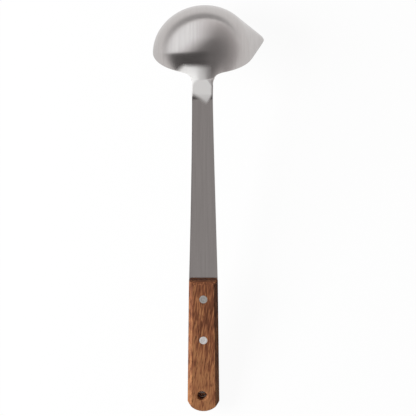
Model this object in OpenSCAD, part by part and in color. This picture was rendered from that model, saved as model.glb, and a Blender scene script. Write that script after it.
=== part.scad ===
// Ladle with a side spout: a pressed steel bowl, neck, shank and full tang in one piece, and two wooden
// grip scales held by two compression rivets. Millimetres.
//
// The shapes are drawn upright first, as the ladle is held: the rim lies in the plane z = 0 with the bowl
// below it, the handle rises on the +Y side, and the spout points to +X, turned a little to -Y.
// lay_down() then turns the ladle face down, resting on the far edge of its rim and on its butt, with the
// origin on the table under the middle of the whole.

/* [Bowl] */
// Radius of the rim, over the steel
bowl_r = 39.7; // [34:0.1:46]
// Depth from the rim to the outside of the bottom
bowl_depth = 36.7; // [32:0.1:42]
// Distance of the bottom from the rim's axis, towards the spout
bottom_side = 1.6; // [0:0.1:2]
// Thickness of the drawn wall
bowl_t = 1.4; // [1:0.1:1.8]
// Reach of the spout's cone from the bowl's axis, as a share of the rim radius
spout_reach_share = 1.43; // [1.3:0.01:1.5]
// Rounding of the spout's tip, as an angle seen from the bowl's axis
spout_round = 2.6; // [2.4:0.1:5]
// Turn of the spout from the ladle's right side, away from the handle
spout_turn = 28; // [15:1:35]

/* [Neck] */
// Depth below the rim where the neck leaves the bowl
neck_depth = 12; // [8:0.5:14]
// Width of the steel where the neck meets the shank
neck_w = 16; // [14:0.5:20]
// Extra width of the neck at the rim
neck_flare = 1.2; // [0:0.1:2]
// Outward lean of the neck from the bowl's axis
neck_lean = 40; // [34:1:44]
// Radius of the bend from the bowl into the neck
neck_in_r = 22; // [18:1:30]
// Radius of the bend from the neck into the shank
neck_out_r = 12; // [8:1:16]
// Height above the rim where the bend into the shank begins
neck_rise = 9.5; // [8:0.5:14]
// Radius of the corners between the rim and the neck
corner_r = 4; // [3:0.5:7]
// Half width over which the rim swells towards the neck
swell_w = 17; // [16:1:26]
// Half width of the swell's crest at the rim
crest_w = 2; // [2:0.5:6]
// Height above the rim where the neck has become flat
flat_h = 2.5; // [1.5:0.5:4]

/* [Handle] */
// Outward lean of the handle from the bowl's axis
handle_lean = 15; // [10:1:20]
// Length from the end of the neck to the butt
handle_l = 250.5; // [200:0.5:300]
// Length of the wooden grip
grip_l = 108; // [95:1:125]
// Thickness of the shank and tang
sheet_t = 2; // [1.8:0.1:2.6]
// Width of the steel at the front of the grip
grip_front_w = 22.6; // [20:0.1:24]
// Width of the grip at the butt
butt_w = 25.6; // [24:0.1:28]
// Radius of the rounded butt
butt_r = 14.3; // [14.1:0.1:18]
// Thickness of each wooden scale
scale_t = 7; // [6:0.1:9]
// Chamfer along the sides and the front of each scale
scale_chamfer = 2.1; // [1:0.1:2.5]

/* [Rivets and hole] */
// Diameter of the rivet heads
rivet_head_d = 6.4; // [5.8:0.1:7.4]
// Thickness of the rivet heads
rivet_head_t = 1.4; // [1:0.1:2]
// Diameter of the rivet sockets
rivet_socket_d = 4.6; // [4.2:0.1:5]
// Diameter of the rivet pins
rivet_pin_d = 3; // [2.4:0.1:3.4]
// Distance from the front of the grip to the upper rivet
rivet_front = 14; // [12:0.5:22]
// Distance between the rivets
rivet_pitch = 34; // [28:0.5:40]
// Diameter of the hanging hole
hole_d = 7.4; // [6:0.1:8]
// Distance from the hanging hole to the butt
hole_back = 13; // [11:0.1:15]
// Distance of the hanging hole from the grip's centre line
hole_side = 0.9; // [0:0.1:1.5]
// Chamfer round the hanging hole
hole_chamfer = 0.4; // [0.2:0.1:0.8]

/* [Hidden] */
$fn = 64;

steel_colour = [0.62, 0.61, 0.6];
wood_colour = [0.49, 0.31, 0.21];
socket_colour = [0.72, 0.7, 0.67];
pin_colour = [0.6, 0.61, 0.63];

// Radial clearance of the rivets in their holes
rivet_fit = 0.05;
// Depth of the pin's end below the socket's head
pin_sunk = 0.15;
// Gap between the socket's mouth and the pin's head
socket_gap = 0.3;
// Overrun of every cutting tool
over = 1;
// Length of the neck's end that is let into the shank, and how far the shank stands proud of it all round
join_l = 1;
join_lap = 0.02;
// Step for slopes taken by difference
probe = 0.05;

// Rings of the bowl's grid, and its columns across the neck and round both sides
rings = 22;
neck_columns = 12;
spout_side_columns = 20;
far_side_columns = 40;
// Rows of the neck's grid: beside the rounded corners, up the flat neck and round the bend
corner_rows = 5;
neck_rows = 5;
bend_rows = 5;
// Stations along each side of the shank
shank_steps = 14;
// Crowding of the columns towards the spout
crowding = 1.4;
// How much slower than its width the shank narrows from the grip
shank_taper = 1.25;

neck_half = neck_w / 2;
spout_half_angle = acos(1 / spout_reach_share);

// The neck's side profile: the bend out of the bowl, the straight neck and the bend into the shank
in_h = -neck_depth;
in_y = bowl_r * sqrt(1 - pow(in_h / bowl_depth, 2));
in_lean = atan(bowl_r * bowl_r * neck_depth / (bowl_depth * bowl_depth * in_y));
flank_h = in_h + neck_in_r * (sin(neck_lean) - sin(in_lean));
flank_y = in_y + neck_in_r * (cos(in_lean) - cos(neck_lean));
out_h = neck_rise;
out_y = flank_y + (out_h - flank_h) * tan(neck_lean);
root_h = out_h + neck_out_r * (sin(neck_lean) - sin(handle_lean));
root_y = out_y + neck_out_r * (cos(handle_lean) - cos(neck_lean));

grip_start = handle_l - grip_l;
back_face = sheet_t / 2 + scale_t;
butt_centre = handle_l - butt_r;
upper_rivet_at = grip_start + rivet_front;
lower_rivet_at = upper_rivet_at + rivet_pitch;
hole_at = handle_l - hole_back;

// The rim's far edge and the butt's front edge, which touch the table
butt_front = sheet_t + scale_t - join_lap;
butt_touch_y = root_y + handle_l * sin(handle_lean) - butt_front * cos(handle_lean);
butt_touch_h = root_h + handle_l * cos(handle_lean) + butt_front * sin(handle_lean);
rim_tilt = atan(butt_touch_h / (butt_touch_y + bowl_r));

// The laid ladle's reach from the middle of its rim: to the spout, past the bottom, and to the butt
spout_x = bowl_r * cos(spout_turn) / cos(spout_half_angle - spout_round);
far_y = norm([bowl_r * cos(rim_tilt), bowl_depth * sin(rim_tilt)]);
butt_back = scale_t + join_lap;
butt_back_y = root_y + handle_l * sin(handle_lean) + butt_back * cos(handle_lean);
butt_back_h = root_h + handle_l * cos(handle_lean) - butt_back * sin(handle_lean);
near_y = -butt_back_y * cos(rim_tilt) - butt_back_h * sin(rim_tilt);

function mix(a, b, share) = a + (b - a) * share;
function ease(share) = let (s = max(0, min(1, share))) s * s * (3 - 2 * s);
function unit(v) = v / norm(v);

// Shape of the bowl: a deep round bowl, and a cone that closes on the spout's tip
function bowl_wall_y(h) = h < 0 ? bowl_r * sqrt(1 - pow(h / bowl_depth, 2)) : bowl_r;
function round_wall_y(x, h) = sqrt(max(0, pow(bowl_wall_y(h), 2) - x * x));
function spout_share(gap) =
    let (soft_gap = norm([gap, spout_round]))
    soft_gap < spout_half_angle ? 1 / cos(spout_half_angle - soft_gap) : 1;

// Shape of the neck on the centre line: its lean in the bend into the shank, and its distance from the
// bowl's axis at a height
function bend_lean(h) = asin(sin(neck_lean) - (h - out_h) / neck_out_r);
function neck_y(h) =
    h < in_h ? bowl_wall_y(h)
    : h < flank_h ? in_y + neck_in_r * (cos(in_lean) - cos(asin((h - in_h) / neck_in_r + sin(in_lean))))
    : h < out_h ? flank_y + (h - flank_h) * tan(neck_lean)
    : h < root_h ? out_y + neck_out_r * (cos(bend_lean(h)) - cos(neck_lean))
    : root_y + (h - root_h) * tan(handle_lean);

// How far the steel stands out of the round wall towards the handle
function swell(x, h) =
    let (crest = mix(crest_w, neck_half, ease((h + flat_h) / (2 * flat_h))))
    let (across = ease((swell_w - abs(x)) / (swell_w - crest)))
    let (flatness = ease((h - in_h) / (flat_h - in_h)))
    across * (neck_y(h) - bowl_wall_y(h) + flatness * (bowl_wall_y(h) - round_wall_y(x, h)));

// Outside of the bowl at a bearing round its axis and an angle below the rim
function bowl_skin(bearing, dip) =
    let (gap = acos(max(-1, min(1, cos(dip) * cos(bearing + spout_turn)))))
    let (share = spout_share(gap))
    let (x = bowl_r * share * cos(dip) * cos(bearing))
    let (y = bowl_r * share * cos(dip) * sin(bearing))
    let (h = -bowl_depth * share * sin(dip))
    [x + bottom_side * pow(sin(dip), 2), y + (y > 0 ? swell(x, h) : 0), h];

// Back of the neck at a distance across it and a height above the rim
function neck_skin(x, h) = [x, round_wall_y(x, h) + swell(x, h), h];

function bowl_normal(bearing, dip) =
    let (turn = bowl_skin(bearing + probe, dip) - bowl_skin(bearing - probe, dip))
    let (fall = bowl_skin(bearing, dip + probe) - bowl_skin(bearing, dip - probe))
    unit(cross(fall, turn));
function neck_normal(x, h) =
    let (side = neck_skin(x + probe, h) - neck_skin(x - probe, h))
    let (rise = neck_skin(x, h) - neck_skin(x, h - probe))
    unit(cross(rise, side));

function steel_t(p) =
    p[1] < 0 ? bowl_t
    : mix(bowl_t, sheet_t - 2 * join_lap, ease((swell_w - abs(p[0])) / (swell_w - neck_half))
        * ease((p[2] - in_h) / (corner_r - in_h)));

// Half width of the steel above the rim: rounded corners, then the neck's own width
function corner_at(h) = h < corner_r ? corner_r - sqrt(pow(corner_r, 2) - pow(corner_r - h, 2)) : 0;
function neck_half_at(h) = (neck_w + neck_flare * pow(max(0, 1 - h / out_h), 2)) / 2 + corner_at(h);
corner_half = neck_half_at(0);

// Columns of the bowl's grid: across the neck, then round by the spout and back by the far side
neck_bearing = asin(corner_half / bowl_r);
spout_side_span = 90 - neck_bearing + spout_turn;
far_side_span = 360 - 2 * neck_bearing - spout_side_span;
bearings = [
    for (i = [0 : neck_columns]) 90 + neck_bearing * (1 - 2 * i / neck_columns),
    for (i = [1 : spout_side_columns])
        -spout_turn + spout_side_span * pow(1 - i / spout_side_columns, crowding),
    for (i = [1 : far_side_columns - 1]) -spout_turn - far_side_span * pow(i / far_side_columns, crowding)
];
columns = len(bearings);

// Heights of the neck's rows, from just above the rim to its end inside the shank
row_heights = [
    for (i = [1 : corner_rows]) corner_r * (1 - cos(90 * i / corner_rows)),
    for (i = [1 : neck_rows]) mix(corner_r, out_h, i / neck_rows),
    for (i = [1 : bend_rows])
        out_h + neck_out_r * (sin(neck_lean) - sin(mix(neck_lean, handle_lean, i / bend_rows))),
    root_h + join_l * cos(handle_lean)
];
rows = len(row_heights);

// Points of one skin: the bottom, the rings down to the rim, and the rows up the neck.
// Depth 0 is the outside and depth 1 the inside.
function ring_dip(i) = 90 * (1 - i / rings);
function inward(p, normal, depth) = p - normal * steel_t(p) * depth;
function skin_points(depth) = [
    [bottom_side, 0, bowl_t * depth - bowl_depth],
    for (i = [1 : rings], bearing = bearings)
        inward(bowl_skin(bearing, ring_dip(i)), bowl_normal(bearing, ring_dip(i)), depth),
    for (h = row_heights, i = [0 : neck_columns])
        let (x = neck_half_at(h) * sin(bearings[i] - 90) / sin(neck_bearing) * -1)
        inward(neck_skin(x, h), neck_normal(x, h), depth)
];
skin_size = 1 + rings * columns + rows * (neck_columns + 1);

function ring_index(i, j) = 1 + (i - 1) * columns + j % columns;
// Row 0 is the rim itself
function row_index(i, j) =
    i == 0 ? ring_index(rings, j) : 1 + rings * columns + (i - 1) * (neck_columns + 1) + j;

skin_faces = [
    for (j = [0 : columns - 1]) [0, ring_index(1, j + 1), ring_index(1, j)],
    for (i = [1 : rings - 1], j = [0 : columns - 1])
        each [
            [ring_index(i, j), ring_index(i + 1, j + 1), ring_index(i + 1, j)],
            [ring_index(i, j), ring_index(i, j + 1), ring_index(i + 1, j + 1)]
        ],
    for (i = [0 : rows - 1], j = [0 : neck_columns - 1])
        each [
            [row_index(i, j), row_index(i + 1, j + 1), row_index(i + 1, j)],
            [row_index(i, j), row_index(i, j + 1), row_index(i + 1, j + 1)]
        ]
];

// The steel's edge, once round: the rim, up one side of the neck, across it and down the other side
edge_loop = [
    for (j = [neck_columns : columns]) row_index(0, j),
    for (i = [1 : rows]) row_index(i, 0),
    for (j = [1 : neck_columns]) row_index(rows, j),
    for (i = [1 : rows - 1]) row_index(rows - i, neck_columns)
];

module pressing() {
    inside = skin_size;
    edge = len(edge_loop);
    polyhedron(
        points = concat(skin_points(0), skin_points(1)),
        faces = concat(
            skin_faces,
            [for (f = skin_faces) [f[2] + inside, f[1] + inside, f[0] + inside]],
            [
                for (k = [0 : edge - 1])
                    let (a = edge_loop[k], b = edge_loop[(k + 1) % edge])
                    each [[a, b, b + inside], [a, b + inside, a + inside]]
            ]
        )
    );
}

// Places a shape drawn in the handle's own frame: x across, y towards the back, z towards the butt,
// from the middle of the steel at the end of the neck
module on_handle() {
    translate([0, root_y, root_h])
        rotate([-handle_lean, 0, 0])
            translate([0, join_lap - sheet_t / 2, 0])
                children();
}

// Turns the upright ladle face down and sets the far edge of its rim on the table
module lay_down() {
    translate([(bowl_r - spout_x) / 2, -(far_y + near_y) / 2, bowl_r * sin(rim_tilt)])
        rotate([180 - rim_tilt, 0, 0])
            children();
}

// A flat outline in the handle's plane, made thick from y = low to y = high
module plate(low, high) {
    translate([0, high, 0])
        rotate([90, 0, 0])
            linear_extrude(high - low)
                children();
}

// A round tool or pin across the handle, from y = low to y = high
module across(d, low, high) {
    translate([0, high, 0])
        rotate([90, 0, 0])
            cylinder(d = d, h = high - low);
}

function shank_half(z) = mix(neck_half + join_lap, grip_front_w / 2, pow(z / grip_start, shank_taper));

module butt_outline() {
    past_butt_w = butt_w + (butt_w - grip_front_w) * over / grip_l;
    intersection() {
        polygon([
            [-grip_front_w / 2, grip_start],
            [grip_front_w / 2, grip_start],
            [past_butt_w / 2, handle_l + over],
            [-past_butt_w / 2, handle_l + over]
        ]);
        union() {
            translate([0, butt_centre])
                circle(r = butt_r, $fn = 128);
            translate([-butt_w, grip_start])
                square([2 * butt_w, butt_centre - grip_start]);
        }
    }
}

module ladle_blank() {
    stations = [for (i = [0 : shank_steps]) mix(join_l / 2, grip_start, i / shank_steps)];
    color(steel_colour)
        lay_down() {
            pressing();
            on_handle()
                difference() {
                    plate(-sheet_t / 2, sheet_t / 2) {
                        polygon(concat(
                            [for (z = stations) [shank_half(z), z]],
                            [
                                for (i = [0 : shank_steps])
                                    let (z = stations[shank_steps - i]) [-shank_half(z), z]
                            ]
                        ));
                        butt_outline();
                    }
                    for (z = [upper_rivet_at, lower_rivet_at])
                        translate([0, 0, z])
                            across(rivet_socket_d + 2 * rivet_fit, -sheet_t, sheet_t);
                    translate([-hole_side, 0, hole_at])
                        across(hole_d, -sheet_t, sheet_t);
                }
        }
}

// One scale with its inner face at y = 0 and its outer face at y = scale_t
module scale_shape() {
    side_angle = atan((butt_w - grip_front_w) / 2 / grip_l);
    cut = 2 * scale_chamfer;
    cut_depth = scale_chamfer / sqrt(2);
    difference() {
        plate(0, scale_t)
            butt_outline();
        for (side = [-1, 1])
            translate([side * grip_front_w / 2, scale_t, grip_start])
                rotate([0, side * side_angle, 0])
                    rotate([0, 0, 90 - 45 * side])
                        translate([-cut_depth, -cut / 2, -over])
                            cube([cut, cut, grip_l + 2 * over]);
        translate([0, scale_t, grip_start])
            rotate([-45, 0, 0])
                translate([-butt_w, -cut_depth, -cut / 2])
                    cube([2 * butt_w, cut, cut]);
        for (z = [upper_rivet_at, lower_rivet_at])
            translate([0, 0, z]) {
                across(rivet_socket_d + 2 * rivet_fit, -over, scale_t + over);
                across(rivet_head_d, scale_t - rivet_head_t, scale_t + over);
            }
        translate([-hole_side, 0, hole_at]) {
            across(hole_d, -over, scale_t + over);
            translate([0, scale_t - hole_chamfer, 0])
                rotate([-90, 0, 0])
                    cylinder(d1 = hole_d, d2 = hole_d + 2 * (hole_chamfer + over), h = hole_chamfer + over);
        }
    }
}

module rear_scale() {
    color(wood_colour)
        lay_down()
            on_handle()
                translate([0, sheet_t / 2, 0])
                    scale_shape();
}

module front_scale() {
    color(wood_colour)
        lay_down()
            on_handle()
                translate([0, -sheet_t / 2, 0])
                    mirror([0, 1, 0])
                        scale_shape();
}

// The half with the tube: its head is flush with the back of the grip
module rivet_socket(z) {
    tube_end = rivet_head_t + socket_gap - back_face;
    color(socket_colour)
        lay_down()
            on_handle()
                translate([0, 0, z])
                    difference() {
                        union() {
                            across(rivet_head_d, back_face - rivet_head_t, back_face);
                            across(rivet_socket_d, tube_end, back_face - rivet_head_t);
                        }
                        across(rivet_pin_d, tube_end - over, back_face + over);
                    }
}

// The half with the solid pin: its head is flush with the front of the grip
module rivet_pin(z) {
    color(pin_colour)
        lay_down()
            on_handle()
                translate([0, 0, z]) {
                    across(rivet_head_d, -back_face, rivet_head_t - back_face);
                    across(rivet_pin_d, rivet_head_t - back_face, back_face - pin_sunk);
                }
}

module upper_rivet_socket() { rivet_socket(upper_rivet_at); }
module upper_rivet_pin() { rivet_pin(upper_rivet_at); }
module lower_rivet_socket() { rivet_socket(lower_rivet_at); }
module lower_rivet_pin() { rivet_pin(lower_rivet_at); }

ladle_blank();
rear_scale();
front_scale();
upper_rivet_socket();
upper_rivet_pin();
lower_rivet_socket();
lower_rivet_pin();
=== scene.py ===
"""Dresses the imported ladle: a pressed steel blank, two wooden scales and two compression rivets.

Sizes are in millimetres and degrees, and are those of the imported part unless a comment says
otherwise. A shape is drawn upright, as the ladle is held, with the rim in the plane z = 0 and the
bowl below it, and is then laid face down in metres.
"""

import logging
import math
from dataclasses import dataclass
from enum import Enum
from typing import Any, Callable, Iterable, Optional

import bmesh
import bpy
from mathutils import Matrix, Vector


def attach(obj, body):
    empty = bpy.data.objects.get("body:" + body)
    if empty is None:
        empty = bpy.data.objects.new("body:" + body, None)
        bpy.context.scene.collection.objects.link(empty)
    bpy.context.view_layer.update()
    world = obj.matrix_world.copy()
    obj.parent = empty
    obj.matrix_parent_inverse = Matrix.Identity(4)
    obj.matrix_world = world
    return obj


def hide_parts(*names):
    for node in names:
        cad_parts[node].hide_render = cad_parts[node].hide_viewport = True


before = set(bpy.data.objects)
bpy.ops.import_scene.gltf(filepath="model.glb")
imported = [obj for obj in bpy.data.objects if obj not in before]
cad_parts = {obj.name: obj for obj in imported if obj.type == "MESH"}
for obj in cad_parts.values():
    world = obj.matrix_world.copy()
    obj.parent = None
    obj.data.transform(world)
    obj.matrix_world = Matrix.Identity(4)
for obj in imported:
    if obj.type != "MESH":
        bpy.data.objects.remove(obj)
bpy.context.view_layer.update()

MM = 0.001
BRUSH_MAP = "brush"
WHITE = "#FFFFFF"
# The Mix node's two inputs and its output, by number: for plain values, and for colours.
MIX_A, MIX_B, MIXED = 2, 3, 0
TINT_A, TINT_B, TINTED = 6, 7, 2
# Noise lies mostly between these two values.
NOISE_RANGE = (0.3, 0.7)
# Corners of one mesh that are nearer than this, in millimetres, become one.
WELD = 0.001
# Faces across a rounded edge, round the butt, and round a hole or rivet.
BEVEL_STEPS = 3
BUTT_STEPS = 64
TURN_STEPS = 48
# The bevel profile that is an arc.
ARC = 0.5
# The weight at which the larger faces alone set the shading at a corner.
LARGE_FACES_FIRST = 100

log = logging.getLogger("ladle")


def linear(colour: str) -> tuple[float, float, float, float]:
    """Turns an sRGB colour into the linear one that a shader takes.

    Args:
        colour: The colour as six hex digits after a hash.

    Returns:
        Red, green, blue and an opaque alpha.
    """
    parts = [int(colour[i : i + 2], 16) / 255 for i in (1, 3, 5)]
    r, g, b = (p / 12.92 if p <= 0.04045 else ((p + 0.055) / 1.055) ** 2.4 for p in parts)
    return r, g, b, 1.0


def add(
    tree: bpy.types.NodeTree,
    kind: str,
    inputs: Optional[dict[Any, Any]] = None,
    stops: Optional[list[tuple[float, str]]] = None,
    **settings: Any,
) -> bpy.types.Node:
    """Adds a node with its settings and links.

    Args:
        tree: The node tree that gets the node.
        kind: The node's type name.
        inputs: For each input name or number, a socket to link from or a plain value.
        stops: Places and sRGB hex colours for a colour ramp.
        **settings: Properties of the node itself.

    Returns:
        The new node.
    """
    node = tree.nodes.new(kind)
    for name, value in settings.items():
        setattr(node, name, value)
    for name, value in (inputs or {}).items():
        if isinstance(value, bpy.types.NodeSocket):
            tree.links.new(value, node.inputs[name])
        else:
            node.inputs[name].default_value = value
    if stops:
        elements = node.color_ramp.elements
        while len(elements) < len(stops):
            elements.new(1.0)
        for element, (place, colour) in zip(elements, stops):
            element.position = place
            element.color = linear(colour)
    return node


def new_material(name: str) -> tuple[bpy.types.Material, bpy.types.NodeTree]:
    """Makes an empty node material.

    Args:
        name: The material's name.

    Returns:
        The material and its node tree.
    """
    material = bpy.data.materials.new(name)
    material.use_nodes = True
    material.node_tree.nodes.clear()
    return material, material.node_tree


def mix(a: float, b: float, share: float) -> float:
    """Gives the value a share of the way from a to b."""
    return a + (b - a) * share


def ease(share: float) -> float:
    """Gives a smooth step from 0 to 1 as the share goes from 0 to 1."""
    s = max(0.0, min(1.0, share))
    return s * s * (3 - 2 * s)


@dataclass(frozen=True)
class SoftEdge:
    """A straight border with a soft edge: a share is 0 outside it and 1 inside."""

    normal: tuple[float, float, float]
    outside: float
    inside: float
    curve: str = "SMOOTHSTEP"


def share_inside(
    tree: bpy.types.NodeTree, place: bpy.types.NodeSocket, edges: Iterable[SoftEdge]
) -> bpy.types.NodeSocket:
    """Marks the area inside all of some borders.

    Args:
        tree: The node tree that gets the nodes.
        place: The socket with the place or direction that is measured.
        edges: The borders.

    Returns:
        A socket that is 1 inside all the borders and 0 outside any of them.
    """
    share = None
    for edge in edges:
        ends = {0: place, 1: edge.normal}
        reach = add(tree, "ShaderNodeVectorMath", ends, operation="DOT_PRODUCT")
        limits = {
            "Value": reach.outputs["Value"],
            "From Min": edge.outside,
            "From Max": edge.inside,
        }
        soft = add(tree, "ShaderNodeMapRange", limits, interpolation_type=edge.curve)
        inside = soft.outputs["Result"]
        if share is not None:
            both = add(tree, "ShaderNodeMath", {0: share, 1: inside}, operation="MULTIPLY")
            inside = both.outputs["Value"]
        share = inside
    return share


def stretched_noise(
    tree: bpy.types.NodeTree,
    place: bpy.types.NodeSocket,
    size: tuple[float, float, float],
    detail: float,
    roughness: float = 0.5,
    turn: tuple[float, float, float] = (0.0, 0.0, 0.0),
) -> bpy.types.NodeSocket:
    """Draws noise with spots of one size, stretched to a different length along each axis.

    Args:
        tree: The material's node tree.
        place: The place that is looked up.
        size: The spots' length along each axis, in the units of the place.
        detail: How many finer sizes are laid over the first.
        roughness: How strong the finer sizes are.
        turn: How far the spots are turned about each axis, in radians.

    Returns:
        A socket with the noise, about 0.5 on average.
    """
    stretch = {"Vector": place, "Rotation": turn, "Scale": tuple(1 / s for s in size)}
    drawn = {
        "Vector": add(tree, "ShaderNodeMapping", stretch).outputs["Vector"],
        "Scale": 1.0,
        "Detail": detail,
        "Roughness": roughness,
    }
    return add(tree, "ShaderNodeTexNoise", drawn).outputs["Fac"]


@dataclass(frozen=True)
class BrushedStainless:
    """Stainless steel, satin brushed lengthwise with fine abrasive, and ground matt on the neck,
    where a pale patch is a painted highlight.

    Brushing leaves long shallow lines, so a reflection stays recognisable but smears across them.
    The real lines are about 0.05 mm wide. They are drawn 1.5 mm wide, which is the finest that
    shows. On the neck an abrasive wheel has blended the bend by hand, and leaves a matt patch.
    The patch is also painted pale with less metal, as a painted highlight: its near-white colour
    scatters light nearly as paint does and stands in for the bright reflection there.
    The patch's borders are in millimetres below the rim and across the neck.
    """

    name: str = "satin_brushed_stainless_steel"
    colour: str = "#CAC5C3"
    dull_colour: str = "#C5C0BE"
    # A near-white that, on the ground patch, is a painted highlight.
    ground_highlight_colour: str = "#F6F4F2"
    roughness: float = 0.24
    roughness_spread: float = 0.02
    ground_roughness: float = 0.58
    # Less metal on the ground patch lets its near-white colour scatter light as paint: a painted
    # highlight.
    ground_and_highlight_metallic: float = 0.65
    line_w: float = 1.5
    line_l: float = 60.0
    line_depth: float = 0.0001
    line_detail: float = 3.0
    line_roughness: float = 0.6
    tint_range: tuple[float, float] = (0.3, 0.62)
    wave_l: float = 16.0
    wave_depth: float = 0.008
    wave_detail: float = 1.0
    anisotropy: float = 0.8
    anisotropy_turn: float = 0.25
    # The ground patch's outline. The patch's pale colour is a painted highlight.
    ground_and_highlight_borders: tuple[SoftEdge, ...] = (
        SoftEdge((1.0, 0.0, 0.0), 9.8, 4.8),
        SoftEdge((1.0, 0.77, 0.0), 18.8, 17.4),
        SoftEdge((1.0, -1.6, 0.0), 37.0, 27.0),
        SoftEdge((-1.0, -0.635, 0.0), 17.0, 11.6),
        SoftEdge((-1.0, 1.6, 0.0), 22.6, 18.0),
        SoftEdge((0.0, 1.0, 0.0), 6.8, 5.6),
    )
    flat_borders: tuple[SoftEdge, ...] = (
        SoftEdge((1.0, 0.0, 0.0), -0.7, -1.7),
        SoftEdge((1.0, 1.0, 0.0), 2.2, 1.0),
    )
    bend_borders: tuple[SoftEdge, ...] = (SoftEdge((0.0, 1.0, 0.0), 12.0, -7.2),)

    def ground_and_highlight_share(
        self, tree: bpy.types.NodeTree, brush: bpy.types.NodeSocket
    ) -> bpy.types.NodeSocket:
        """Marks the neck's ground patch, painted pale as a painted highlight: all of its flat, and
        the bend above it towards the left.

        Args:
            tree: The material's node tree.
            brush: The brush coordinates: how far below the rim, and across.

        Returns:
            A socket that is 1 on the ground patch of painted highlight and 0 where it is brushed.
        """
        flat = share_inside(tree, brush, self.flat_borders)
        bend = share_inside(tree, brush, self.bend_borders)
        wheel = add(tree, "ShaderNodeMath", {0: flat, 1: bend}, operation="MAXIMUM")
        patch = share_inside(tree, brush, self.ground_and_highlight_borders)
        both = {0: wheel.outputs["Value"], 1: patch}
        return add(tree, "ShaderNodeMath", both, operation="MULTIPLY").outputs["Value"]

    def material(self) -> bpy.types.Material:
        """Builds the finish on the piece's own brush map, which is in millimetres.

        Returns:
            The node material.
        """
        material, tree = new_material(self.name)
        brush = add(tree, "ShaderNodeUVMap", uv_map=BRUSH_MAP).outputs["UV"]
        line = (self.line_l, self.line_w, 1.0)
        lines = stretched_noise(tree, brush, line, self.line_detail, self.line_roughness)
        place = add(tree, "ShaderNodeTexCoord").outputs["Object"]
        waves = stretched_noise(tree, place, (self.wave_l * MM,) * 3, self.wave_detail)
        tones = list(zip(self.tint_range, (self.dull_colour, self.colour)))
        tint = add(tree, "ShaderNodeValToRGB", {"Fac": lines}, tones).outputs["Color"]
        # Where the neck is ground, a near-white tint and less metal paint a highlight.
        ground = self.ground_and_highlight_share(tree, brush)
        tints = {"Factor": ground, TINT_A: tint, TINT_B: linear(self.ground_highlight_colour)}
        steel = add(tree, "ShaderNodeMix", tints, data_type="RGBA")
        gloss = add(
            tree,
            "ShaderNodeMapRange",
            {
                "Value": lines,
                "From Min": NOISE_RANGE[0],
                "From Max": NOISE_RANGE[1],
                "To Min": self.roughness + self.roughness_spread,
                "To Max": self.roughness - self.roughness_spread,
            },
        )
        uneven = {"Height": waves, "Distance": self.wave_depth * MM, "Strength": 1.0}
        scored = {
            "Height": lines,
            "Distance": self.line_depth * MM,
            "Strength": 1.0,
            "Normal": add(tree, "ShaderNodeBump", uneven).outputs["Normal"],
        }
        tangent = add(tree, "ShaderNodeTangent", direction_type="UV_MAP", uv_map=BRUSH_MAP)
        surface = {
            "Base Color": steel.outputs[TINTED],
            "Anisotropic Rotation": self.anisotropy_turn,
            "Tangent": tangent.outputs["Tangent"],
            "Normal": add(tree, "ShaderNodeBump", scored).outputs["Normal"],
        }
        for name, brushed, matt in (
            ("Metallic", 1.0, self.ground_and_highlight_metallic),
            ("Roughness", gloss.outputs["Result"], self.ground_roughness),
            ("Anisotropic", self.anisotropy, 0.0),
        ):
            blend = {"Factor": ground, MIX_A: brushed, MIX_B: matt}
            surface[name] = add(tree, "ShaderNodeMix", blend).outputs[MIXED]
        metal = add(tree, "ShaderNodeBsdfPrincipled", surface)
        add(tree, "ShaderNodeOutputMaterial", {"Surface": metal.outputs["BSDF"]})
        return material


@dataclass(frozen=True)
class BlankedStainless:
    """Stainless steel as it was rolled and blanked, dull and unbrushed, where the scales cover it.

    A rolled surface has a faint even mottle and no direction. The mottle is drawn 1.5 mm wide,
    which is coarser than the real one, so that the thin edge doesn't look painted.
    """

    name: str = "mill_finish_stainless_steel"
    light: str = "#A4A6A8"
    dark: str = "#8C8E90"
    roughness: float = 0.5
    mottle_w: float = 1.5
    mottle_detail: float = 2.0
    tint_range: tuple[float, float] = (0.35, 0.65)

    def material(self) -> bpy.types.Material:
        """Builds the finish.

        Returns:
            The node material.
        """
        material, tree = new_material(self.name)
        place = add(tree, "ShaderNodeTexCoord").outputs["Object"]
        mottle = stretched_noise(tree, place, (self.mottle_w * MM,) * 3, self.mottle_detail)
        tones = list(zip(self.tint_range, (self.dark, self.light)))
        tint = add(tree, "ShaderNodeValToRGB", {"Fac": mottle}, tones).outputs["Color"]
        rolled = {"Base Color": tint, "Metallic": 1.0, "Roughness": self.roughness}
        metal = add(tree, "ShaderNodeBsdfPrincipled", rolled)
        add(tree, "ShaderNodeOutputMaterial", {"Surface": metal.outputs["BSDF"]})
        return material


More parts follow.
